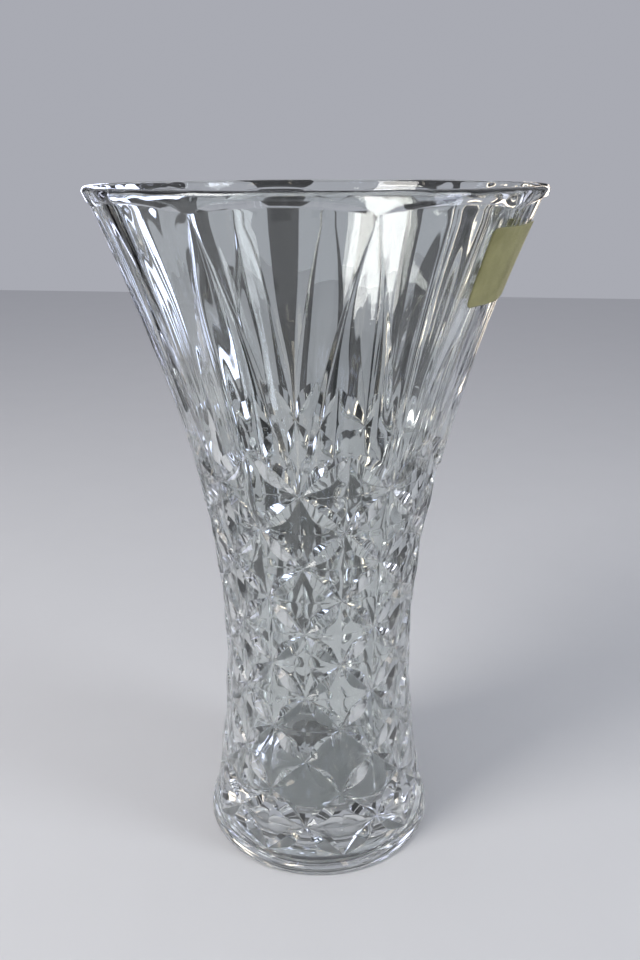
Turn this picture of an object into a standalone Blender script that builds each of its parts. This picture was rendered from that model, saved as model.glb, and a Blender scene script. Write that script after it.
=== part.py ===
"""Cut crystal vase: one piece of pressed and cut glass, with a blank adhesive label.

Run it with blender --background --python part.py, or from Blender's text editor. Sizes are in
metres and +Z is up. The vase stands on the origin and its first lattice column faces -Y.

The cut surface is described on a chart. Its first coordinate counts columns round the vase, and
its second counts rows of the lattice downwards, or is a height. Each point of the chart has a cut
depth below the outer profile, and one half sector of the chart is mirrored and arrayed.
"""

import math

import bmesh
import bpy
from mathutils import Vector

# Overall form
HEIGHT = 0.250
RIM_RADIUS = 0.0770
WAIST_RADIUS = 0.0370
WAIST_HEIGHT = 0.080
FOOT_RADIUS = 0.0458
FLARE_POWER = 1.85
FOOT_POWER = 2.0

# Bore
WALL_AT_RIM = 0.0052
WALL_AT_FLOOR = 0.0080
FLOOR_THICKNESS = 0.0180
BORE_CORNER = 0.0080
BORE_EDGE = 0.0012

# Lip and foot
LIP_ROUND = 0.0016
LIP_BAND_AT_CUSP = 0.0062
LIP_BAND_AT_ARCH = 0.0042
LIP_STEP = 0.0009
FOOT_ROUND = 0.0015
RING_HEIGHT = 0.0042
RING_STEP = 0.0010
RING_WIDTH = 0.0080
RECESS_DEPTH = 0.0012

# Lattice
REPEATS = 9
ROWS = 12
ROW_PITCH = 0.01345
ROW_GROWTH = 0.035
EVEN_ROWS = 8
NODE_HEIGHT = 0.0191
TIP_DROP = 0.0119
LENS_HALF_WIDTH = 0.34
LENS_DEPTH = 0.0020
FACET_DEPTH = 0.0009
ARCH_STEP = 0.0012

# Flutes
FLUTE_DEPTH = 0.0012

# Label
LABEL_AZIMUTH = math.radians(68.0)
LABEL_WIDTH = 0.038
LABEL_TOP_DROP = 0.0110
LABEL_HEIGHT = 0.0235
LABEL_THICKNESS = 0.0003
LABEL_GAP = 0.0003

# Resolution
STEPS = 4
FLUTE_LEVELS = 8
ROUND_STEPS = 3
BORE_STEPS = 16
LABEL_STEPS = 20

MERGE = 0.00001
COLUMN_ANGLE = math.pi / REPEATS


def clear_scene():
    for thing in list(bpy.context.scene.objects):
        bpy.data.objects.remove(thing, do_unlink=True)


def new_collection(name):
    collection = bpy.data.collections.new(name)
    bpy.context.scene.collection.children.link(collection)
    return collection


def new_object(name, bm, collection):
    mesh = bpy.data.meshes.new(name)
    bm.to_mesh(mesh)
    bm.free()
    thing = bpy.data.objects.new(name, mesh)
    collection.objects.link(thing)
    return thing


def new_material(name, colour, roughness, transmission):
    material = bpy.data.materials.new(name)
    material.use_nodes = True
    shader = material.node_tree.nodes["Principled BSDF"]
    shader.inputs["Base Color"].default_value = (*colour, 1.0)
    shader.inputs["Roughness"].default_value = roughness
    shader.inputs["Metallic"].default_value = 0.0
    shader.inputs["IOR"].default_value = 1.54
    shader.inputs["Transmission Weight"].default_value = transmission
    return material


# The profile of revolution


def outer_radius(z):
    if z < WAIST_HEIGHT:
        share = (WAIST_HEIGHT - z) / WAIST_HEIGHT
        return WAIST_RADIUS + (FOOT_RADIUS - WAIST_RADIUS) * share ** FOOT_POWER
    share = (z - WAIST_HEIGHT) / (HEIGHT - WAIST_HEIGHT)
    return WAIST_RADIUS + (RIM_RADIUS - WAIST_RADIUS) * share ** FLARE_POWER


def bore_radius(z):
    share = (z - FLOOR_THICKNESS) / (HEIGHT - FLOOR_THICKNESS)
    wall = WALL_AT_FLOOR + (WALL_AT_RIM - WALL_AT_FLOOR) * share
    return outer_radius(z) - wall


def chart_point(column, z, depth=0.0):
    """The point of the outside at a column and a height, cut in by a depth."""
    angle = column * COLUMN_ANGLE
    radius = outer_radius(z) - depth
    return Vector((radius * math.sin(angle), -radius * math.cos(angle), z))


# The lattice of lens-shaped cuts


def row_height(row):
    """Height of a lattice row, counted down from the top; fractions lie between two rows."""
    above = int(math.floor(row))
    if row != above:
        share = row - above
        return row_height(above) * (1.0 - share) + row_height(above + 1) * share
    if above > ROWS - 1:
        return NODE_HEIGHT - TIP_DROP
    height = NODE_HEIGHT
    for step in range(1, ROWS - above):
        height += ROW_PITCH * (1.0 + ROW_GROWTH * max(0, step - EVEN_ROWS))
    return height


def between(first, second, share):
    return tuple(a + (b - a) * share for a, b in zip(first, second))


def lens_line(side, end):
    """The bottom of the groove between two neighbouring nodes."""
    points = []
    for step in range(STEPS + 1):
        share = step / STEPS
        column, row = between(side, end, share)
        depth = FACET_DEPTH + LENS_DEPTH * 4.0 * share * (1.0 - share)
        points.append(chart_point(column, row_height(row), depth))
    return points


def lens_edge(centre, side, end):
    """Chart places of the groove's edge that faces the middle of a diamond, with their reach."""
    places = []
    for step in range(STEPS + 1):
        share = step / STEPS
        reach = 1.0 - LENS_HALF_WIDTH * 4.0 * share * (1.0 - share)
        places.append((*between(centre, between(side, end, share), reach), reach))
    return places


def add_grid(bm, rows):
    """A skin over rows of points, with each row as long as the next."""
    grid = [[bm.verts.new(point) for point in row] for row in rows]
    for upper, lower in zip(grid, grid[1:]):
        for step in range(len(upper) - 1):
            bm.faces.new((upper[step], lower[step], lower[step + 1], upper[step + 1]))


def face_outwards(bm):
    """Turn an open skin that covers the top of the vase so that its faces point out of the glass."""
    bmesh.ops.recalc_face_normals(bm, faces=bm.faces)
    highest = max(bm.faces, key=lambda face: face.calc_center_median().z)
    if highest.normal.z < 0.0:
        bmesh.ops.reverse_faces(bm, faces=bm.faces)


def add_quarter(bm, centre, side, end):
    """A quarter of a diamond: a flat facet up to its middle, and half of the groove beside it."""
    edge = [chart_point(column, row_height(row), FACET_DEPTH * reach)
            for column, row, reach in lens_edge(centre, side, end)]
    middle = chart_point(centre[0], row_height(centre[1]))
    add_grid(bm, [[middle] * (STEPS + 1), edge, lens_line(side, end)])


def add_lattice(bm):
    for row in range(ROWS):
        if row % 2 == 0:
            upper, lower = (0, row), (1, row + 1)
            left, right = (0, row + 1), (1, row)
            quarters = [(upper, right, left), (lower, left, right)]
        else:
            upper, lower = (1, row), (0, row + 1)
            left, right = (0, row), (1, row + 1)
            quarters = [(upper, left, right), (lower, right, left)]
        if row == 0:
            quarters = quarters[1:]
        if row == ROWS - 1:
            quarters = quarters[:1]
        for centre, side, end in quarters:
            add_quarter(bm, centre, side, end)


# The flutes above the lattice


def arch_places():
    """Column and height of the flutes' lower end, from the valley to the top of an arch."""
    places = lens_edge((0, 0), (0, 1), (1, 0))
    return [(column, row_height(row) + ARCH_STEP) for column, row, reach in places]


def lip_places(rise=0.0):
    """Column and height of the flutes' upper end, from the middle of an arch to its cusp."""
    places = []
    for step in range(STEPS + 1):
        share = step / STEPS
        band = LIP_BAND_AT_ARCH + (LIP_BAND_AT_CUSP - LIP_BAND_AT_ARCH) * share ** 2
        places.append((share, HEIGHT - band + rise))
    return places


def add_fan(bm, start, places, depth_at):
    """Rows that grow from one chart place out to a row of places."""
    rows = []
    for level in range(FLUTE_LEVELS + 1):
        reach = level / FLUTE_LEVELS
        row = []
        for step, place in enumerate(places):
            column, z = between(start, place, reach)
            row.append(chart_point(column, z, depth_at(reach, step / STEPS)))
        rows.append(row)
    add_grid(bm, rows)


def flute_hollow(column, z):
    """Depth of the wide flutes at a place near the lip; nothing in the panels between them."""
    valley, middle = arch_places()[0][1], lip_places()[0][1]
    reach = (z - valley) / (middle - valley)
    share = abs((column + 1.0) % 2.0 - 1.0) / reach
    return FLUTE_DEPTH * reach * max(0.0, 1.0 - share ** 2)


def add_flutes(bm):
    valley, cusp = arch_places()[0], lip_places()[-1]
    add_fan(bm, valley, lip_places(), lambda reach, share: FLUTE_DEPTH * reach * (1.0 - share ** 2))
    add_fan(bm, cusp, arch_places(), lambda reach, share: FLUTE_DEPTH * reach * share * (2.0 - share))
    foot_of_flutes = [chart_point(column, z, FLUTE_DEPTH * share * (2.0 - share))
                      for (column, z), share in zip(arch_places(), shares())]
    add_grid(bm, [foot_of_flutes, lens_line((0, 1), (1, 0))])


# The plain lip and foot


def shares():
    return [step / STEPS for step in range(STEPS + 1)]


def round_row(radius, z):
    points = []
    for share in shares():
        angle = share * COLUMN_ANGLE
        points.append(Vector((radius * math.sin(angle), -radius * math.cos(angle), z)))
    return points


def add_lip(bm):
    flute_tops = [chart_point(column, z, FLUTE_DEPTH * (1.0 - share ** 2))
                  for (column, z), share in zip(lip_places(), shares())]
    band = [chart_point(column, z) for column, z in lip_places(LIP_STEP)]
    rows = [flute_tops, band]
    shoulder = outer_radius(HEIGHT - LIP_ROUND)
    for step in range(ROUND_STEPS + 1):
        angle = 0.5 * math.pi * step / ROUND_STEPS
        radius = shoulder - LIP_ROUND * (1.0 - math.cos(angle))
        rows.append(round_row(radius, HEIGHT - LIP_ROUND + LIP_ROUND * math.sin(angle)))
    rows.append([Vector((0.0, 0.0, HEIGHT))] * (STEPS + 1))
    add_grid(bm, rows)


def add_foot(bm):
    places = lens_edge((0, ROWS), (0, ROWS - 1), (1, ROWS))
    edge = [chart_point(column, row_height(row), FACET_DEPTH) for column, row, reach in places]
    add_grid(bm, [lens_line((0, ROWS - 1), (1, ROWS)), edge])
    rows = [edge]
    rows.append([chart_point(share, RING_HEIGHT + RING_STEP, FACET_DEPTH) for share in shares()])
    rows.append([chart_point(share, RING_HEIGHT) for share in shares()])
    shoulder = outer_radius(FOOT_ROUND)
    for step in range(ROUND_STEPS + 1):
        angle = 0.5 * math.pi * step / ROUND_STEPS
        radius = shoulder - FOOT_ROUND * (1.0 - math.cos(angle))
        rows.append(round_row(radius, FOOT_ROUND - FOOT_ROUND * math.sin(angle)))
    rows.append([Vector((0.0, 0.0, 0.0))] * (STEPS + 1))
    add_grid(bm, rows)


# The solids


def add_cut(target, cutter):
    cut = target.modifiers.new("cut_" + cutter.name, "BOOLEAN")
    cut.operation = "DIFFERENCE"
    cut.solver = "EXACT"
    cut.object = cutter


def turned_cutter(name, profile, collection):
    """A solid turned from (radius, height) points that run down its outer side."""
    bm = bmesh.new()
    verts = [bm.verts.new((radius, 0.0, z)) for radius, z in profile]
    for first, second in zip(verts, verts[1:]):
        bm.edges.new((first, second))
    cutter = new_object(name, bm, collection)
    screw = cutter.modifiers.new("turn", "SCREW")
    screw.axis = "Z"
    screw.steps = 2 * STEPS * REPEATS
    screw.render_steps = screw.steps
    screw.use_merge_vertices = True
    screw.merge_threshold = MERGE
    screw.use_smooth_shade = False
    cutter.hide_render = True
    cutter.display_type = "WIRE"
    return cutter


def bore_profile():
    """Down the bore from its rounded edge, round its corner and across its floor."""
    above = 2.0 * LIP_ROUND
    top_radius = bore_radius(HEIGHT)
    profile = [(0.0, HEIGHT + above), (top_radius + BORE_EDGE, HEIGHT + above),
               (top_radius + BORE_EDGE, HEIGHT)]
    for step in range(1, ROUND_STEPS):
        angle = 0.5 * math.pi * step / ROUND_STEPS
        radius = top_radius + BORE_EDGE * (1.0 - math.sin(angle))
        profile.append((radius, HEIGHT - BORE_EDGE * (1.0 - math.cos(angle))))
    start, end = HEIGHT - BORE_EDGE, FLOOR_THICKNESS + BORE_CORNER
    for step in range(BORE_STEPS + 1):
        z = start + (end - start) * step / BORE_STEPS
        profile.append((bore_radius(z), z))
    for step in range(1, ROUND_STEPS + 1):
        angle = 0.5 * math.pi * step / ROUND_STEPS
        radius = bore_radius(end) - BORE_CORNER * (1.0 - math.cos(angle))
        profile.append((radius, end - BORE_CORNER * math.sin(angle)))
    profile.append((0.0, FLOOR_THICKNESS))
    return profile


def recess_profile():
    """The shallow dish inside the foot ring."""
    radius = FOOT_RADIUS - RING_WIDTH
    return [(0.0, RECESS_DEPTH), (radius - RECESS_DEPTH, RECESS_DEPTH),
            (radius + RECESS_DEPTH, -RECESS_DEPTH), (0.0, -RECESS_DEPTH)]


def build_body(parts, cutters):
    bm = bmesh.new()
    add_lip(bm)
    add_flutes(bm)
    add_lattice(bm)
    add_foot(bm)
    bmesh.ops.remove_doubles(bm, verts=bm.verts, dist=MERGE)
    bmesh.ops.triangulate(bm, faces=bm.faces)
    face_outwards(bm)
    body = new_object("vase_body", bm, parts)

    mirror = body.modifiers.new("other_half", "MIRROR")
    mirror.use_mirror_merge = True
    mirror.merge_threshold = MERGE
    turn = bpy.data.objects.new("sector_turn", None)
    turn.rotation_euler.z = 2.0 * COLUMN_ANGLE
    cutters.objects.link(turn)
    array = body.modifiers.new("sectors", "ARRAY")
    array.count = REPEATS
    array.use_relative_offset = False
    array.use_object_offset = True
    array.offset_object = turn
    weld = body.modifiers.new("joins", "WELD")
    weld.merge_threshold = MERGE

    add_cut(body, turned_cutter("bore", bore_profile(), cutters))
    add_cut(body, turned_cutter("foot_recess", recess_profile(), cutters))
    body.data.materials.append(new_material("crystal_glass", (0.93, 0.95, 0.95), 0.02, 1.0))
    return body


def build_label(parts):
    """A thin sheet pressed into the wide flutes, a small gap outside them and their ridges."""
    top = HEIGHT - LABEL_TOP_DROP
    middle_radius = outer_radius(top - 0.5 * LABEL_HEIGHT)
    span = LABEL_WIDTH / middle_radius / COLUMN_ANGLE
    first = LABEL_AZIMUTH / COLUMN_ANGLE - 0.5 * span
    pitch = span / LABEL_STEPS
    bm = bmesh.new()
    rows = []
    for level in range(LABEL_STEPS + 1):
        z = top - LABEL_HEIGHT * level / LABEL_STEPS
        row = []
        for step in range(LABEL_STEPS + 1):
            column = first + pitch * step
            hollow = min(flute_hollow(column + turn, z) for turn in (-pitch, 0.0, pitch))
            row.append(chart_point(column, z, hollow - LABEL_GAP))
        rows.append(row)
    add_grid(bm, rows)
    bmesh.ops.triangulate(bm, faces=bm.faces)
    label = new_object("blank_label", bm, parts)
    solid = label.modifiers.new("paper", "SOLIDIFY")
    solid.thickness = LABEL_THICKNESS
    solid.offset = 1.0
    label.data.materials.append(new_material("label_paper", (0.62, 0.60, 0.36), 0.45, 0.0))
    return label


def main():
    clear_scene()
    parts = new_collection("cut_crystal_vase")
    cutters = new_collection("cutters")
    build_body(parts, cutters)
    build_label(parts)
    bpy.context.view_layer.update()


main()
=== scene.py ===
"""Cut crystal vase: the looks of its glass and its blank label, on a plain pale stage."""

import math

import bmesh
import bpy
from mathutils import Matrix, Vector


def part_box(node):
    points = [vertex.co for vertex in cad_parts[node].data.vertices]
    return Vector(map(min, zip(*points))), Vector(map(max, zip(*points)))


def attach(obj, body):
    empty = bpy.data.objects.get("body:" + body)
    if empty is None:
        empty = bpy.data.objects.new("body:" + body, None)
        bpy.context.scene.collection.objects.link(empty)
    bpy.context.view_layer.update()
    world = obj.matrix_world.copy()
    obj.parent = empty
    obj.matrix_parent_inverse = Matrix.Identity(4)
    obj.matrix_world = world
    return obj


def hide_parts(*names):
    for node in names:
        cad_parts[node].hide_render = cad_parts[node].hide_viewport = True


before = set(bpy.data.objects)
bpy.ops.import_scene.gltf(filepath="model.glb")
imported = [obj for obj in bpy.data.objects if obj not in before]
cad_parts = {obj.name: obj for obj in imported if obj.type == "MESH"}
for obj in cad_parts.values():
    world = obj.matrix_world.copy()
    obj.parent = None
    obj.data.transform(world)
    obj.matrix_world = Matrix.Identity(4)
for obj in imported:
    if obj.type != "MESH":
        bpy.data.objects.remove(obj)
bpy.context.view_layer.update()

bl_info = {
    "name": "Cut Crystal Vase",
    "version": (1, 0, 0),
    "blender": (4, 5, 0),
    "location": "View3D > Sidebar > Crystal Vase",
    "description": "Builds a flared crystal vase with a cut lattice, flutes and a blank label",
    "category": "Add Mesh",
}

BODY_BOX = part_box("vase_body")
LABEL_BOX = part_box("blank_label")
MERGE = 0.000005


# Settings


class VaseBodySettings(bpy.types.PropertyGroup):
    """Sizes of the glass"""

    height: bpy.props.FloatProperty(
        name="Height", description="From the table to the top of the lip",
        default=BODY_BOX[1].z, unit="LENGTH")
    rim_radius: bpy.props.FloatProperty(
        name="Rim Radius", description="Radius to which the flare would reach at the full height",
        default=0.0770, unit="LENGTH")
    waist_radius: bpy.props.FloatProperty(
        name="Waist Radius", description="Radius at the narrowest height",
        default=0.0370, unit="LENGTH")
    waist_height: bpy.props.FloatProperty(
        name="Waist Height", description="Height of the narrowest place",
        default=0.080, unit="LENGTH")
    foot_radius: bpy.props.FloatProperty(
        name="Foot Radius", description="Radius at the table", default=0.0458, unit="LENGTH")
    flare_power: bpy.props.FloatProperty(
        name="Flare Power", description="How late the wall flares above the waist", default=1.85)
    foot_power: bpy.props.FloatProperty(
        name="Foot Power", description="How late the wall spreads below the waist", default=2.0)
    wall_at_rim: bpy.props.FloatProperty(
        name="Wall at Rim", description="Thickness of the wall at the rim",
        default=0.0052, unit="LENGTH")
    wall_at_floor: bpy.props.FloatProperty(
        name="Wall at Floor", description="Thickness of the wall at the floor of the bore",
        default=0.0080, unit="LENGTH")
    floor_thickness: bpy.props.FloatProperty(
        name="Floor Thickness", description="Solid glass under the bore",
        default=0.0180, unit="LENGTH")
    repeats: bpy.props.IntProperty(
        name="Repeats", description="Times the cut pattern repeats round the vase", default=9)
    rows: bpy.props.IntProperty(
        name="Rows", description="Rows of grooves in the lattice", default=12)
    row_pitch: bpy.props.FloatProperty(
        name="Row Pitch", description="Height of one row of the lattice",
        default=0.01345, unit="LENGTH")
    row_growth: bpy.props.FloatProperty(
        name="Row Growth", description="Share by which each of the top rows is taller",
        default=0.035)
    even_rows: bpy.props.IntProperty(
        name="Even Rows", description="Rows of one height, counted from the bottom", default=8)
    node_height: bpy.props.FloatProperty(
        name="Lowest Nodes", description="Height of the lowest full row of nodes",
        default=0.0191, unit="LENGTH")
    tip_drop: bpy.props.FloatProperty(
        name="Tip Drop", description="How far the lowest tips hang below those nodes",
        default=0.0119, unit="LENGTH")
    lens_half_width: bpy.props.FloatProperty(
        name="Groove Width", description="Half width of a groove, as a share of half a diamond",
        default=0.34)
    lens_depth: bpy.props.FloatProperty(
        name="Groove Depth", description="Depth of a groove below the facets beside it",
        default=0.0020, unit="LENGTH")
    facet_depth: bpy.props.FloatProperty(
        name="Facet Depth", description="Drop from a diamond's middle to its corners",
        default=0.0009, unit="LENGTH")
    flute_depth: bpy.props.FloatProperty(
        name="Flute Depth", description="Hollow of the long flutes", default=0.0012,
        unit="LENGTH")
    steps: bpy.props.IntProperty(
        name="Steps", description="Faces across half a repeat", default=10)


class VaseGlassSettings(bpy.types.PropertyGroup):
    """Look of the glass"""

    tint: bpy.props.FloatVectorProperty(
        name="Tint", description="Colour of the crystal", subtype="COLOR", size=3,
        default=(0.87, 0.895, 0.885), min=0.0, max=1.0)
    ripple: bpy.props.FloatProperty(
        name="Mould Ripple", description="Strength of the ripple left by the mould",
        default=1.0, subtype="FACTOR")
    polish: bpy.props.FloatProperty(
        name="Polish", description="Radius to which fire polishing rounds a crease",
        default=0.0005, unit="LENGTH")
    smudge: bpy.props.FloatProperty(
        name="Smudge", description="Roughness where the glass was handled", default=0.02,
        subtype="FACTOR")


class VaseLabelSettings(bpy.types.PropertyGroup):
    """Size and colour of the blank label"""

    azimuth: bpy.props.FloatProperty(
        name="Azimuth", description="Turn of the label's middle from the first column",
        default=math.radians(68.0), subtype="ANGLE")
    width: bpy.props.FloatProperty(
        name="Width", description="Width along the glass", default=0.038, unit="LENGTH")
    height: bpy.props.FloatProperty(
        name="Height", description="Height between its edges", default=0.0235, unit="LENGTH")
    top_drop: bpy.props.FloatProperty(
        name="Drop", description="From the top of the lip to its upper edge",
        default=0.0110, unit="LENGTH")
    thickness: bpy.props.FloatProperty(
        name="Thickness", description="Thickness of the sheet", default=0.0003, unit="LENGTH")
    gap: bpy.props.FloatProperty(
        name="Gap", description="Space between the glass and the sheet",
        default=0.0003, unit="LENGTH")
    corner: bpy.props.FloatProperty(
        name="Corner", description="Radius of its corners", default=0.0020, unit="LENGTH")
    colour: bpy.props.FloatVectorProperty(
        name="Colour", description="Colour of the aged sheet", subtype="COLOR", size=3,
        default=(0.36, 0.34, 0.14), min=0.0, max=1.0)


class VaseStageSettings(bpy.types.PropertyGroup):
    """Floor, lamps and camera"""

    floor_colour: bpy.props.FloatVectorProperty(
        name="Floor", description="Colour of the floor", subtype="COLOR", size=3,
        default=(0.70, 0.70, 0.71), min=0.0, max=1.0)
    key_power: bpy.props.FloatProperty(
        name="Key Power", description="Power of the main lamp", default=5.5, unit="POWER")
    fill_power: bpy.props.FloatProperty(
        name="Fill Power", description="Power of the side lamp", default=2.5, unit="POWER")
    strip_power: bpy.props.FloatProperty(
        name="Strip Power", description="Power of each upright strip that lights only the glass",
        default=0.45, unit="POWER")


# The profile and the chart of the cut surface


class Shape:
    """The rule of the glass: every method takes places on the chart of columns and heights."""

    def __init__(self, sizes):
        self.sizes = sizes
        self.steps = sizes.steps

    def outer_radius(self, z):
        s = self.sizes
        if z < s.waist_height:
            share = (s.waist_height - z) / s.waist_height
            return s.waist_radius + (s.foot_radius - s.waist_radius) * share ** s.foot_power
        share = (z - s.waist_height) / (s.height - s.waist_height)
        return s.waist_radius + (s.rim_radius - s.waist_radius) * share ** s.flare_power

    def bore_radius(self, z):
        s = self.sizes
        share = (z - s.floor_thickness) / (s.height - s.floor_thickness)
        return self.outer_radius(z) - s.wall_at_floor - (s.wall_at_rim - s.wall_at_floor) * share

    def row_height(self, row):
        s = self.sizes
        above = int(math.floor(row))
        if row != above:
            share = row - above
            return self.row_height(above) * (1.0 - share) + self.row_height(above + 1) * share
        if above > s.rows - 1:
            return s.node_height - s.tip_drop
        height = s.node_height
        for step in range(1, s.rows - above):
            height += s.row_pitch * (1.0 + s.row_growth * max(0, step - s.even_rows))
        return height

    def shares(self):
        return [step / self.steps for step in range(self.steps + 1)]

    def lens_line(self, side, end):
        s = self.sizes
        points = []
        for share in self.shares():
            column, row = between(side, end, share)
            depth = s.facet_depth + s.lens_depth * 4.0 * share * (1.0 - share)
            points.append((column, self.row_height(row), depth))
        return points

    def lens_edge(self, centre, side, end):
        places = []
        for share in self.shares():
            reach = 1.0 - self.sizes.lens_half_width * 4.0 * share * (1.0 - share)
            places.append((*between(centre, between(side, end, share), reach), reach))
        return places

    def turned_row(self, radius, z):
        """A row at one radius and height, all the way across half a repeat."""
        depth = self.outer_radius(z) - radius
        return [(share, z, depth) for share in self.shares()]


def between(first, second, share):
    return tuple(a + (b - a) * share for a, b in zip(first, second))


def quarter_arc(steps):
    """Sine and one-less-cosine along a quarter of a circle."""
    for step in range(steps + 1):
        angle = 0.5 * math.pi * step / steps
        yield math.sin(angle), 1.0 - math.cos(angle)


def add_grid(bm, rows, creases="rows sides"):
    """A skin over rows of chart points. Its outer rows and its sides may be creases."""
    grid = [[bm.verts.new(point) for point in row] for row in rows]
    for upper, lower in zip(grid, grid[1:]):
        for step in range(len(upper) - 1):
            face = bm.faces.new((upper[step], lower[step], lower[step + 1], upper[step + 1]))
            face.smooth = True
    lines = []
    if "rows" in creases:
        lines += [grid[0], grid[-1]]
    if "sides" in creases:
        lines += [[row[0] for row in grid], [row[-1] for row in grid]]
    for line in lines:
        for first, second in zip(line, line[1:]):
            edge = bm.edges.get((first, second))
            if edge is not None:
                edge.smooth = False


# The glass body

LIP_ROUND = 0.0016
LIP_BAND_AT_CUSP = 0.0062
LIP_BAND_AT_ARCH = 0.0042
LIP_STEP = 0.0009
FOOT_ROUND = 0.0015
RING_HEIGHT = 0.0042
RING_STEP = 0.0010
RING_WIDTH = 0.0080
RECESS_DEPTH = 0.0012
BORE_CORNER = 0.0080
BORE_EDGE = 0.0012
ARCH_STEP = 0.0012
ROUND_STEPS = 6
FLUTE_LEVELS = 24
BORE_LEVELS = 60


def add_quarter(bm, shape, centre, side, end):
    """A quarter of a diamond: one facet up to its middle, and half of the groove beside it."""
    drop = shape.sizes.facet_depth
    places = shape.lens_edge(centre, side, end)
    edge = [(column, shape.row_height(row), drop * reach) for column, row, reach in places]
    middle = (centre[0], shape.row_height(centre[1]), 0.0)
    half_way = [between(middle, point, 0.5) for point in edge]
    add_grid(bm, [[middle] * len(edge), half_way, edge])
    line = shape.lens_line(side, end)
    hollow = [between(a, b, 0.5) for a, b in zip(edge, line)]
    add_grid(bm, [edge, hollow, line], "rows")


def add_lattice(bm, shape):
    rows = shape.sizes.rows
    for row in range(rows):
        if row % 2 == 0:
            left, right = (0, row + 1), (1, row)
            quarters = [((0, row), right, left), ((1, row + 1), left, right)]
        else:
            left, right = (0, row), (1, row + 1)
            quarters = [((1, row), left, right), ((0, row + 1), right, left)]
        if row == 0:
            quarters = quarters[1:]
        if row == rows - 1:
            quarters = quarters[:1]
        for centre, side, end in quarters:
            add_quarter(bm, shape, centre, side, end)


def arch_places(shape):
    """Lower end of the flutes, from a valley to the top of an arch."""
    return [(column, shape.row_height(row) + ARCH_STEP)
            for column, row, reach in shape.lens_edge((0, 0), (0, 1), (1, 0))]


def lip_places(shape, rise=0.0):
    """Upper end of the flutes, from the middle of an arch to its cusp."""
    reach = LIP_BAND_AT_CUSP - LIP_BAND_AT_ARCH
    return [(share, shape.sizes.height - LIP_BAND_AT_ARCH - reach * share ** 2 + rise)
            for share in shape.shares()]


def add_fan(bm, shape, start, places, depth_at):
    rows = []
    for level in range(FLUTE_LEVELS + 1):
        reach = level / FLUTE_LEVELS
        rows.append([(*between(start, place, reach), depth_at(reach, share))
                     for place, share in zip(places, shape.shares())])
    add_grid(bm, rows, "rows")


def mark_ridges(bm, shape, valley, cusp):
    """Crease the straight ridge between two flutes, from a valley of the lattice to a cusp."""
    for edge in bm.edges:
        on_ridge = True
        for vert in edge.verts:
            share = vert.co.x
            z = valley[1] + (cusp[1] - valley[1]) * share
            on_ridge = on_ridge and abs(vert.co.y - z) < MERGE and abs(vert.co.z) < MERGE
        if on_ridge:
            edge.smooth = False


def flute_hollow(shape, column, z):
    """Depth of the wide flutes at a place near the lip; nothing in the panels between them."""
    valley, middle = arch_places(shape)[0][1], lip_places(shape)[0][1]
    reach = (z - valley) / (middle - valley)
    share = abs((column + 1.0) % 2.0 - 1.0) / reach
    return shape.sizes.flute_depth * reach * max(0.0, 1.0 - share ** 2)


def add_flutes(bm, shape):
    depth = shape.sizes.flute_depth
    lower, upper = arch_places(shape), lip_places(shape)
    add_fan(bm, shape, lower[0], upper, lambda reach, share: depth * reach * (1.0 - share ** 2))
    add_fan(bm, shape, upper[-1], lower,
            lambda reach, share: depth * reach * share * (2.0 - share))
    mark_ridges(bm, shape, lower[0], upper[-1])
    ends = [(column, z, depth * share * (2.0 - share))
            for (column, z), share in zip(lower, shape.shares())]
    add_grid(bm, [ends, shape.lens_line((0, 1), (1, 0))], "rows")


def add_lip_and_bore(bm, shape):
    s = shape.sizes
    tops = [(column, z, s.flute_depth * (1.0 - share ** 2))
            for (column, z), share in zip(lip_places(shape), shape.shares())]
    band = [(column, z, 0.0) for column, z in lip_places(shape, LIP_STEP)]
    add_grid(bm, [tops, band], "rows")

    shoulder = shape.outer_radius(s.height - LIP_ROUND)
    rows = [band]
    for sine, versine in quarter_arc(ROUND_STEPS):
        z = s.height - LIP_ROUND * (1.0 - sine)
        rows.append(shape.turned_row(shoulder - LIP_ROUND * versine, z))
    top = shape.bore_radius(s.height)
    for sine, versine in quarter_arc(ROUND_STEPS):
        rows.append(shape.turned_row(top + BORE_EDGE * (1.0 - sine), s.height - BORE_EDGE * versine))
    start, end = s.height - BORE_EDGE, s.floor_thickness + BORE_CORNER
    for level in range(1, BORE_LEVELS + 1):
        z = start + (end - start) * level / BORE_LEVELS
        rows.append(shape.turned_row(shape.bore_radius(z), z))
    corner = shape.bore_radius(end)
    for sine, versine in quarter_arc(ROUND_STEPS):
        rows.append(shape.turned_row(corner - BORE_CORNER * versine, end - BORE_CORNER * sine))
    for share in (0.5, 0.0):
        rows.append(shape.turned_row((corner - BORE_CORNER) * share, s.floor_thickness))
    add_grid(bm, rows, "")


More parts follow.
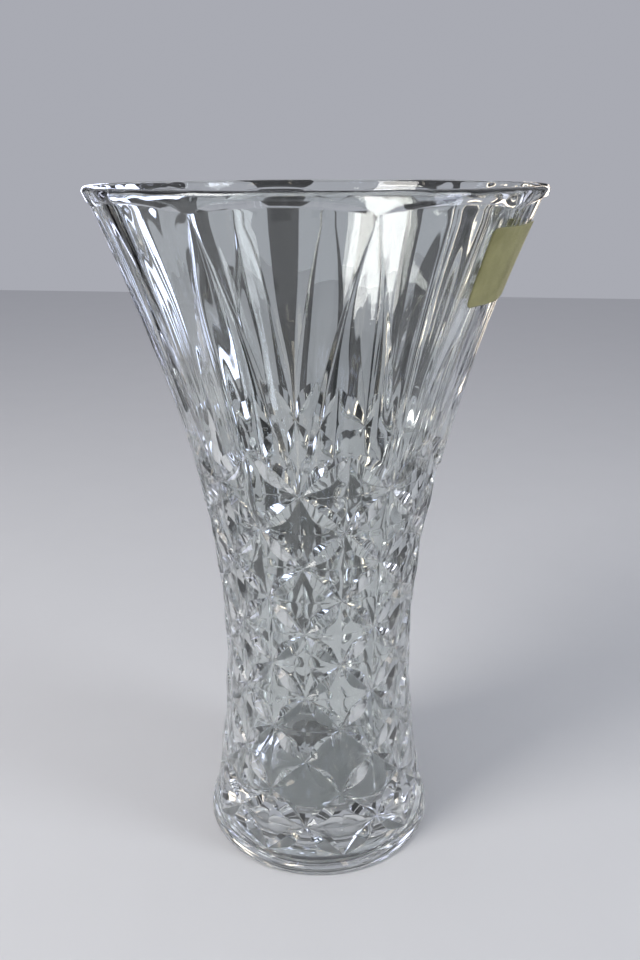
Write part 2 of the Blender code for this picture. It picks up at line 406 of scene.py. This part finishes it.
def add_foot(bm, shape):
    s = shape.sizes
    places = shape.lens_edge((0, s.rows), (0, s.rows - 1), (1, s.rows))
    edge = [(column, shape.row_height(row), s.facet_depth) for column, row, reach in places]
    add_grid(bm, [shape.lens_line((0, s.rows - 1), (1, s.rows)), edge], "rows")
    step = [(share, RING_HEIGHT + RING_STEP, s.facet_depth) for share in shape.shares()]
    middle = [between(a, b, 0.5) for a, b in zip(edge, step)]
    add_grid(bm, [edge, middle, step], "rows")
    ring = [(share, RING_HEIGHT, 0.0) for share in shape.shares()]
    add_grid(bm, [step, ring], "rows")
    rows = [ring]
    shoulder = shape.outer_radius(FOOT_ROUND)
    for sine, versine in quarter_arc(ROUND_STEPS):
        rows.append(shape.turned_row(shoulder - FOOT_ROUND * versine, FOOT_ROUND * (1.0 - sine)))
    add_grid(bm, rows, "")
    inside = s.foot_radius - RING_WIDTH
    add_grid(bm, [rows[-1], shape.turned_row(inside, 0.0)], "rows")
    add_grid(bm, [shape.turned_row(inside, 0.0),
                  shape.turned_row(inside - RECESS_DEPTH, RECESS_DEPTH)], "rows")
    add_grid(bm, [shape.turned_row((inside - RECESS_DEPTH) * share, RECESS_DEPTH)
                  for share in (1.0, 0.5, 0.0)], "")


# Node helpers


def link(tree, source, target):
    tree.links.new(source, target)


def fill(tree, node, values):
    """Give a node's inputs, in order, their plain values or their links."""
    for socket, value in zip(node.inputs, values):
        if isinstance(value, (int, float, tuple)):
            socket.default_value = value
        else:
            link(tree, value, socket)


def math_node(tree, operation, *values):
    node = tree.nodes.new("ShaderNodeMath")
    node.operation = operation
    fill(tree, node, values)
    return node.outputs[0]


def vector_node(tree, operation, *values):
    node = tree.nodes.new("ShaderNodeVectorMath")
    node.operation = operation
    fill(tree, node, values)
    return node.outputs["Vector"]


# Geometry Nodes


def wrap_tree():
    """A tree that repeats half a pattern round an axis and wraps it onto the flared profile."""
    tree = bpy.data.node_groups.new("wrap_on_flared_profile", "GeometryNodeTree")
    face = tree.interface
    face.new_socket("Half Repeat", in_out="INPUT", socket_type="NodeSocketGeometry")
    face.new_socket("Repeats", in_out="INPUT", socket_type="NodeSocketInt")
    for name in ("Height", "Rim Radius", "Waist Radius", "Waist Height", "Foot Radius"):
        socket = face.new_socket(name, in_out="INPUT", socket_type="NodeSocketFloat")
        socket.subtype = "DISTANCE"
    for name in ("Flare Power", "Foot Power"):
        face.new_socket(name, in_out="INPUT", socket_type="NodeSocketFloat")
    face.new_socket("Material", in_out="INPUT", socket_type="NodeSocketMaterial")
    face.new_socket("Vase", in_out="OUTPUT", socket_type="NodeSocketGeometry")
    given = tree.nodes.new("NodeGroupInput").outputs
    result = tree.nodes.new("NodeGroupOutput")

    mirror = tree.nodes.new("GeometryNodeTransform")
    mirror.inputs["Scale"].default_value = (-1.0, 1.0, 1.0)
    link(tree, given["Half Repeat"], mirror.inputs["Geometry"])
    flip = tree.nodes.new("GeometryNodeFlipFaces")
    link(tree, mirror.outputs["Geometry"], flip.inputs["Mesh"])
    pair = tree.nodes.new("GeometryNodeJoinGeometry")
    link(tree, given["Half Repeat"], pair.inputs["Geometry"])
    link(tree, flip.outputs["Mesh"], pair.inputs["Geometry"])
    places = tree.nodes.new("GeometryNodeMeshLine")
    places.mode = "OFFSET"
    places.inputs["Offset"].default_value = (2.0, 0.0, 0.0)
    link(tree, given["Repeats"], places.inputs["Count"])
    copies = tree.nodes.new("GeometryNodeInstanceOnPoints")
    link(tree, places.outputs["Mesh"], copies.inputs["Points"])
    link(tree, pair.outputs["Geometry"], copies.inputs["Instance"])
    flat = tree.nodes.new("GeometryNodeRealizeInstances")
    link(tree, copies.outputs["Instances"], flat.inputs["Geometry"])

    chart = tree.nodes.new("ShaderNodeSeparateXYZ")
    link(tree, tree.nodes.new("GeometryNodeInputPosition").outputs["Position"], chart.inputs[0])
    column, z, depth = chart.outputs
    angle = math_node(tree, "DIVIDE", math_node(tree, "MULTIPLY", column, math.pi),
                      given["Repeats"])
    over = math_node(tree, "MAXIMUM", math_node(tree, "SUBTRACT", z, given["Waist Height"]), 0.0)
    span = math_node(tree, "SUBTRACT", given["Height"], given["Waist Height"])
    flare = math_node(tree, "POWER", math_node(tree, "DIVIDE", over, span), given["Flare Power"])
    under = math_node(tree, "MAXIMUM", math_node(tree, "SUBTRACT", given["Waist Height"], z), 0.0)
    spread = math_node(tree, "POWER", math_node(tree, "DIVIDE", under, given["Waist Height"]),
                       given["Foot Power"])
    at_rim = math_node(tree, "SUBTRACT", given["Rim Radius"], given["Waist Radius"])
    at_foot = math_node(tree, "SUBTRACT", given["Foot Radius"], given["Waist Radius"])
    radius = math_node(tree, "MULTIPLY_ADD", flare, at_rim, given["Waist Radius"])
    radius = math_node(tree, "MULTIPLY_ADD", spread, at_foot, radius)
    radius = math_node(tree, "SUBTRACT", radius, depth)
    place = tree.nodes.new("ShaderNodeCombineXYZ")
    link(tree, math_node(tree, "MULTIPLY", radius, math_node(tree, "SINE", angle)),
         place.inputs["X"])
    back = math_node(tree, "MULTIPLY", radius, math_node(tree, "COSINE", angle))
    link(tree, math_node(tree, "MULTIPLY", back, -1.0), place.inputs["Y"])
    link(tree, z, place.inputs["Z"])

    wrap = tree.nodes.new("GeometryNodeSetPosition")
    link(tree, flat.outputs["Geometry"], wrap.inputs["Geometry"])
    link(tree, place.outputs["Vector"], wrap.inputs["Position"])
    merge = tree.nodes.new("GeometryNodeMergeByDistance")
    merge.inputs["Distance"].default_value = MERGE
    link(tree, wrap.outputs["Geometry"], merge.inputs["Geometry"])
    real = tree.nodes.new("GeometryNodeRealizeInstances")
    link(tree, merge.outputs["Geometry"], real.inputs["Geometry"])
    finish = tree.nodes.new("GeometryNodeSetMaterial")
    link(tree, real.outputs["Geometry"], finish.inputs["Geometry"])
    link(tree, given["Material"], finish.inputs["Material"])
    link(tree, finish.outputs["Geometry"], result.inputs["Vase"])
    return tree


def set_inputs(modifier, values):
    for item in modifier.node_group.interface.items_tree:
        if item.item_type == "SOCKET" and item.in_out == "INPUT" and item.name in values:
            modifier[item.identifier] = values[item.name]


def plain_mesh(thing):
    """Turn what the modifiers make into the object's own mesh, with its faces outwards."""
    bpy.context.view_layer.update()
    evaluated = thing.evaluated_get(bpy.context.evaluated_depsgraph_get())
    mesh = bpy.data.meshes.new_from_object(evaluated)
    thing.modifiers.clear()
    thing.data = mesh
    bm = bmesh.new()
    bm.from_mesh(mesh)
    bmesh.ops.remove_doubles(bm, verts=bm.verts, dist=MERGE)
    bmesh.ops.recalc_face_normals(bm, faces=bm.faces)
    bmesh.ops.triangulate(bm, faces=bm.faces)
    bm.to_mesh(mesh)
    bm.free()


def new_object(name, mesh):
    thing = bpy.data.objects.new(name, mesh)
    bpy.context.scene.collection.objects.link(thing)
    return thing


# Materials

GLASS_IOR = 1.54
GLASS_DEEPER = 0.985
RIPPLE_HEIGHT = 0.0015
RIPPLE_STARTS = 0.135
RIPPLE_IS_FULL = 0.175
PAPER_IOR = 1.35
PAPER_ROUGHNESS = 0.35
PAPER_ROUGHER = 0.25
FIBRE_HEIGHT = 0.0002
FLOOR_DEEPER = 0.97


def soft_clouds():
    """A node group: a mask that drifts between nought and one in soft clouds."""
    group = bpy.data.node_groups.get("soft_clouds")
    if group is not None:
        return group
    group = bpy.data.node_groups.new("soft_clouds", "ShaderNodeTree")
    face = group.interface
    face.new_socket("Vector", in_out="INPUT", socket_type="NodeSocketVector")
    for name in ("Scale", "Detail", "Low", "High"):
        face.new_socket(name, in_out="INPUT", socket_type="NodeSocketFloat")
    face.new_socket("Mask", in_out="OUTPUT", socket_type="NodeSocketFloat")
    given = group.nodes.new("NodeGroupInput").outputs
    noise = group.nodes.new("ShaderNodeTexNoise")
    for name in ("Vector", "Scale", "Detail"):
        link(group, given[name], noise.inputs[name])
    spread = group.nodes.new("ShaderNodeMapRange")
    link(group, noise.outputs["Fac"], spread.inputs["Value"])
    link(group, given["Low"], spread.inputs["From Min"])
    link(group, given["High"], spread.inputs["From Max"])
    link(group, spread.outputs["Result"], group.nodes.new("NodeGroupOutput").inputs["Mask"])
    return group


def clouds(tree, vector, scale, detail, low=0.0, high=1.0):
    """A mask of soft clouds, stretched between two levels of the noise."""
    node = tree.nodes.new("ShaderNodeGroup")
    node.node_tree = soft_clouds()
    link(tree, vector, node.inputs["Vector"])
    for name, value in (("Scale", scale), ("Detail", detail), ("Low", low), ("High", high)):
        node.inputs[name].default_value = value
    return node.outputs["Mask"]


def places(tree, stretch=(1.0, 1.0, 1.0)):
    """The piece's own coordinates, stretched along its axes."""
    coordinates = tree.nodes.new("ShaderNodeTexCoord")
    mapping = tree.nodes.new("ShaderNodeMapping")
    mapping.inputs["Scale"].default_value = stretch
    link(tree, coordinates.outputs["Object"], mapping.inputs["Vector"])
    return mapping.outputs["Vector"]


def meridians(tree, rise):
    """Coordinates that change round the axis, and only slowly with the height."""
    place = places(tree)
    level = vector_node(tree, "MULTIPLY", place, (1.0, 1.0, 0.0))
    around = vector_node(tree, "NORMALIZE", level)
    upright = vector_node(tree, "MULTIPLY", place, (0.0, 0.0, rise))
    return vector_node(tree, "ADD", around, upright)


def height_share(tree, low, high):
    """Nought below one height and one above another."""
    split = tree.nodes.new("ShaderNodeSeparateXYZ")
    link(tree, places(tree), split.inputs["Vector"])
    node = tree.nodes.new("ShaderNodeMapRange")
    node.inputs["From Min"].default_value = low
    node.inputs["From Max"].default_value = high
    link(tree, split.outputs["Z"], node.inputs["Value"])
    return node.outputs["Result"]


def mix_colour(tree, factor, first, second):
    node = tree.nodes.new("ShaderNodeMix")
    node.data_type = "RGBA"
    link(tree, factor, node.inputs["Factor"])
    node.inputs["A"].default_value = (*first, 1.0)
    node.inputs["B"].default_value = (*second, 1.0)
    return node.outputs["Result"]


def soft_edges(tree, radius):
    """The normal of a surface whose creases are fire-polished to a small radius."""
    node = tree.nodes.new("ShaderNodeBevel")
    node.samples = 4
    node.inputs["Radius"].default_value = radius
    return node.outputs["Normal"]


def bump(tree, height, strength, distance, normal=None):
    node = tree.nodes.new("ShaderNodeBump")
    if normal is not None:
        link(tree, normal, node.inputs["Normal"])
    node.inputs["Strength"].default_value = strength
    node.inputs["Distance"].default_value = distance
    link(tree, height, node.inputs["Height"])
    return node.outputs["Normal"]


def new_material(name):
    material = bpy.data.materials.new(name)
    material.use_nodes = True
    return material, material.node_tree, material.node_tree.nodes["Principled BSDF"]


def crystal_glass(look):
    material, tree, shader = new_material("crystal_glass")
    shader.inputs["Metallic"].default_value = 0.0
    shader.inputs["Transmission Weight"].default_value = 1.0
    shader.inputs["IOR"].default_value = GLASS_IOR
    ripple = clouds(tree, meridians(tree, rise=2.5), scale=6.0, detail=0.0)
    on_flutes = height_share(tree, RIPPLE_STARTS, RIPPLE_IS_FULL)
    height = math_node(tree, "MULTIPLY", ripple, on_flutes)
    polished = soft_edges(tree, look.polish)
    link(tree, bump(tree, height, look.ripple, RIPPLE_HEIGHT, polished), shader.inputs["Normal"])
    handled = clouds(tree, places(tree), scale=38.0, detail=4.0, low=0.52, high=0.75)
    link(tree, math_node(tree, "MULTIPLY", handled, look.smudge), shader.inputs["Roughness"])
    tone = clouds(tree, places(tree, (1.0, 1.0, 0.5)), scale=14.0, detail=2.0)
    deeper = tuple(channel * GLASS_DEEPER for channel in look.tint)
    link(tree, mix_colour(tree, tone, look.tint, deeper), shader.inputs["Base Color"])
    return material


def label_paper(look):
    material, tree, shader = new_material("label_paper")
    shader.inputs["Transmission Weight"].default_value = 0.45
    shader.inputs["IOR"].default_value = PAPER_IOR
    blotch = clouds(tree, places(tree), scale=120.0, detail=4.0, low=0.35, high=0.65)
    paler = tuple(min(1.0, channel * 1.25 + 0.05) for channel in look.colour)
    link(tree, mix_colour(tree, blotch, look.colour, paler), shader.inputs["Base Color"])
    fibre = clouds(tree, places(tree, (1.0, 1.0, 4.0)), scale=900.0, detail=3.0, low=0.3, high=0.7)
    rough = math_node(tree, "MULTIPLY_ADD", fibre, PAPER_ROUGHER, PAPER_ROUGHNESS)
    link(tree, rough, shader.inputs["Roughness"])
    link(tree, bump(tree, fibre, 0.1, FIBRE_HEIGHT), shader.inputs["Normal"])
    return material


def floor_material(colour):
    material, tree, shader = new_material("pale_floor")
    shader.inputs["Roughness"].default_value = 0.8
    shader.inputs["Specular IOR Level"].default_value = 0.0
    grain = clouds(tree, places(tree), scale=25.0, detail=4.0)
    deeper = tuple(channel * FLOOR_DEEPER for channel in colour)
    link(tree, mix_colour(tree, grain, colour, deeper), shader.inputs["Base Color"])
    return material


# The blank label

LABEL_STEPS = 48
LABEL_BRIDGE = 0.0865


def round_corner(across, up, half_width, half_height, corner):
    """Pull a place on a square-cornered sheet in to its rounded corners."""
    inner_x, inner_y = half_width - corner, half_height - corner
    over_x, over_y = max(0.0, abs(across) - inner_x), max(0.0, abs(up) - inner_y)
    reach = math.hypot(over_x, over_y)
    if reach > 0.0:
        pull = max(over_x, over_y) / reach
        across = math.copysign(min(abs(across), inner_x) + over_x * pull, across)
        up = math.copysign(min(abs(up), inner_y) + over_y * pull, up)
    return across, up


def label_mesh(sheet, body):
    """A sheet on the outside of the flare, pressed into the wide flutes with faces outwards."""
    shape = Shape(body)
    half_width, half_height = 0.5 * sheet.width, 0.5 * sheet.height
    middle = body.height - sheet.top_drop - half_height
    half_angle = half_width / shape.outer_radius(middle)
    bm = bmesh.new()
    bmesh.ops.create_grid(bm, x_segments=LABEL_STEPS, y_segments=LABEL_STEPS, size=1.0)
    for vert in bm.verts:
        across, up = round_corner(vert.co.x * half_width, vert.co.y * half_height,
                                  half_width, half_height, sheet.corner)
        z = middle + up
        angle = sheet.azimuth + half_angle * across / half_width
        column = angle * body.repeats / math.pi
        hollow = min(flute_hollow(shape, column + turn, z)
                     for turn in (-LABEL_BRIDGE, 0.0, LABEL_BRIDGE))
        radius = shape.outer_radius(z) - hollow + sheet.gap
        vert.co = (radius * math.sin(angle), -radius * math.cos(angle), z)
    for face in bm.faces:
        face.smooth = True
    mesh = bpy.data.meshes.new("blank_label_sheet")
    bm.to_mesh(mesh)
    bm.free()
    return mesh


# Operators


class CRYSTALVASE_OT_body(bpy.types.Operator):
    """Build the glass body: lip, flutes, lattice, foot and bore"""

    bl_idname = "crystalvase.body"
    bl_label = "Glass Body"

    def execute(self, context):
        s = context.scene.crystalvase_body
        shape = Shape(s)
        bm = bmesh.new()
        add_lip_and_bore(bm, shape)
        add_flutes(bm, shape)
        add_lattice(bm, shape)
        add_foot(bm, shape)
        bmesh.ops.remove_doubles(bm, verts=bm.verts, dist=MERGE)
        mesh = bpy.data.meshes.new("cut_glass_body")
        bm.to_mesh(mesh)
        bm.free()
        body = new_object("cut_glass_body", mesh)
        modifier = body.modifiers.new("wrap", "NODES")
        modifier.node_group = wrap_tree()
        set_inputs(modifier, {
            "Repeats": s.repeats, "Height": s.height, "Rim Radius": s.rim_radius,
            "Waist Radius": s.waist_radius, "Waist Height": s.waist_height,
            "Foot Radius": s.foot_radius, "Flare Power": s.flare_power,
            "Foot Power": s.foot_power, "Material": crystal_glass(context.scene.crystalvase_glass)})
        plain_mesh(body)
        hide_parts("vase_body")
        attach(body, "root")
        return {"FINISHED"}


class CRYSTALVASE_OT_label(bpy.types.Operator):
    """Build the blank label on the outside of the flare"""

    bl_idname = "crystalvase.label"
    bl_label = "Blank Label"

    def execute(self, context):
        s = context.scene.crystalvase_label
        label = new_object("blank_label_sheet", label_mesh(s, context.scene.crystalvase_body))
        solid = label.modifiers.new("paper", "SOLIDIFY")
        solid.thickness = s.thickness
        solid.offset = 1.0
        plain_mesh(label)
        label.data.materials.append(label_paper(s))
        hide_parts("blank_label")
        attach(label, "root")
        return {"FINISHED"}


# Stage

FIRST_COLUMN_TURN = math.radians(5.8)
CAMERA_DISTANCE = 0.310
CAMERA_ABOVE_RIM = 0.00715
CAMERA_ASIDE = 0.00885
CAMERA_YAW = math.radians(1.46)
CAMERA_PITCH = math.radians(19.94)
CAMERA_ROLL = math.radians(-0.23)
CAMERA_LENS = 33.0
CAMERA_SENSOR = 36.0
FLOOR_HALF_SIDE = 1.5
FLOOR_DROP = 0.0002
ROOM_COLOUR = (0.88, 0.90, 1.0)
ROOM_STRENGTH = 0.45
GLASS_BOUNCES = 24


def add_camera(height):
    data = bpy.data.cameras.new("camera")
    data.lens = CAMERA_LENS
    data.sensor_width = CAMERA_SENSOR
    data.clip_start = 0.01
    camera = new_object("camera", data)
    turn = Matrix.Rotation(FIRST_COLUMN_TURN, 4, "Z")
    spot = Vector((CAMERA_ASIDE, -CAMERA_DISTANCE, height + CAMERA_ABOVE_RIM))
    yaw = Matrix.Rotation(CAMERA_YAW, 4, "Z")
    pitch = Matrix.Rotation(0.5 * math.pi - CAMERA_PITCH, 4, "X")
    roll = Matrix.Rotation(CAMERA_ROLL, 4, "Z")
    camera.matrix_world = turn @ Matrix.Translation(spot) @ yaw @ pitch @ roll
    bpy.context.scene.camera = camera


def add_lamp(name, place, target, size, power, colour):
    data = bpy.data.lights.new(name, "AREA")
    data.shape = "RECTANGLE"
    data.size, data.size_y = size
    data.energy = power
    data.color = colour
    lamp = new_object(name, data)
    lamp.location = place
    lamp.rotation_euler = (Vector(target) - Vector(place)).to_track_quat("-Z", "Y").to_euler()
    return lamp


STRIP_COUNT = 8
STRIP_DISTANCE = 0.62
STRIP_MIDDLE = 0.22
STRIP_TARGET = (0.0, 0.0, 0.14)
STRIP_SIZE = (0.10, 0.40)
STRIP_COLOURS = ((1.0, 0.85, 0.68), (0.68, 0.73, 1.0), (0.80, 0.82, 1.0))


def add_strips(power):
    """Bright upright strips all round, which draw the bright lines in clear glass."""
    for number in range(STRIP_COUNT):
        angle = FIRST_COLUMN_TURN + (number + 0.5) * 2.0 * math.pi / STRIP_COUNT
        x, y = STRIP_DISTANCE * math.sin(angle), -STRIP_DISTANCE * math.cos(angle)
        colour = STRIP_COLOURS[number % len(STRIP_COLOURS)]
        strip = add_lamp("strip", (x, y, STRIP_MIDDLE), STRIP_TARGET, STRIP_SIZE, power, colour)
        strip.visible_camera = False
        strip.visible_diffuse = False


def add_flags(name, count, radius, width, height, turn, shade):
    """Flags in a ring out of view, which draw the dark lines in clear glass."""
    bm = bmesh.new()
    for number in range(count):
        angle = FIRST_COLUMN_TURN + turn + 2.0 * math.pi * number / count
        middle = Vector((radius * math.sin(angle), -radius * math.cos(angle), 0.0))
        across = Vector((math.cos(angle), math.sin(angle), 0.0)) * 0.5 * width
        corners = [middle - across, middle + across]
        face = [corner + Vector((0.0, 0.0, z)) for z in (0.0, height) for corner in corners]
        bm.faces.new([bm.verts.new(face[index]) for index in (0, 1, 3, 2)])
    mesh = bpy.data.meshes.new(name)
    bm.to_mesh(mesh)
    bm.free()
    material, tree, shader = new_material(name + "_cloth")
    shader.inputs["Base Color"].default_value = (shade, shade, shade, 1.0)
    shader.inputs["Roughness"].default_value = 0.9
    mesh.materials.append(material)
    flags = new_object(name, mesh)
    flags.visible_camera = False
    flags.visible_shadow = False
    flags.visible_diffuse = False


def add_world():
    """A pale room for the camera, the glass and its reflections."""
    world = bpy.data.worlds.new("studio")
    world.use_nodes = True
    bpy.context.scene.world = world
    shade = world.node_tree.nodes["Background"]
    shade.inputs["Color"].default_value = (*ROOM_COLOUR, 1.0)
    shade.inputs["Strength"].default_value = ROOM_STRENGTH


class CRYSTALVASE_OT_stage(bpy.types.Operator):
    """Lay the pale floor, hang the lamps and place the camera"""

    bl_idname = "crystalvase.stage"
    bl_label = "Stage"

    def execute(self, context):
        s = context.scene.crystalvase_stage
        bm = bmesh.new()
        bmesh.ops.create_grid(bm, x_segments=4, y_segments=4, size=FLOOR_HALF_SIDE)
        mesh = bpy.data.meshes.new("floor")
        bm.to_mesh(mesh)
        bm.free()
        floor = new_object("floor", mesh)
        floor.location.z = -FLOOR_DROP
        mesh.materials.append(floor_material(s.floor_colour))
        add_world()
        add_lamp("key", place=(-0.55, -0.45, 0.75), target=(0.0, 0.0, 0.12), size=(0.35, 0.5),
                 power=s.key_power, colour=(1.0, 0.98, 0.95))
        add_lamp("fill", place=(0.75, -0.2, 0.45), target=(0.0, 0.0, 0.14), size=(0.25, 0.6),
                 power=s.fill_power, colour=(0.9, 0.95, 1.0))
        add_strips(s.strip_power)
        add_flags("far_flags", count=26, radius=0.50, width=0.055, height=0.42,
                  turn=math.radians(5.0), shade=0.02)
        add_flags("near_flags", count=8, radius=0.17, width=0.08, height=0.08,
                  turn=math.radians(3.0), shade=0.12)
        add_camera(context.scene.crystalvase_body.height)
        context.scene.view_settings.view_transform = "Standard"
        cycles = context.scene.cycles
        cycles.max_bounces = GLASS_BOUNCES
        cycles.transmission_bounces = GLASS_BOUNCES
        cycles.glossy_bounces = 12
        return {"FINISHED"}


class CRYSTALVASE_PT_panel(bpy.types.Panel):
    """Lists the pieces of the vase and its stage"""

    bl_idname = "CRYSTALVASE_PT_panel"
    bl_label = "Cut Crystal Vase"
    bl_space_type = "VIEW_3D"
    bl_region_type = "UI"
    bl_category = "Crystal Vase"

    def draw(self, context):
        for operator in OPERATORS:
            self.layout.operator(operator.bl_idname)
        for name, settings in SETTINGS.items():
            box = self.layout.box()
            group = getattr(context.scene, name)
            for prop in settings.__annotations__:
                box.prop(group, prop)


OPERATORS = (CRYSTALVASE_OT_body, CRYSTALVASE_OT_label, CRYSTALVASE_OT_stage)
SETTINGS = {
    "crystalvase_body": VaseBodySettings,
    "crystalvase_glass": VaseGlassSettings,
    "crystalvase_label": VaseLabelSettings,
    "crystalvase_stage": VaseStageSettings,
}


def register():
    for name, settings in SETTINGS.items():
        bpy.utils.register_class(settings)
        setattr(bpy.types.Scene, name, bpy.props.PointerProperty(type=settings))
    for operator in OPERATORS:
        bpy.utils.register_class(operator)
    bpy.utils.register_class(CRYSTALVASE_PT_panel)


def unregister():
    bpy.utils.unregister_class(CRYSTALVASE_PT_panel)
    for operator in reversed(OPERATORS):
        bpy.utils.unregister_class(operator)
    for name, settings in SETTINGS.items():
        delattr(bpy.types.Scene, name)
        bpy.utils.unregister_class(settings)


def main():
    register()
    bpy.ops.crystalvase.body()
    bpy.ops.crystalvase.label()
    bpy.ops.crystalvase.stage()


if __name__ == "__main__":
    main()
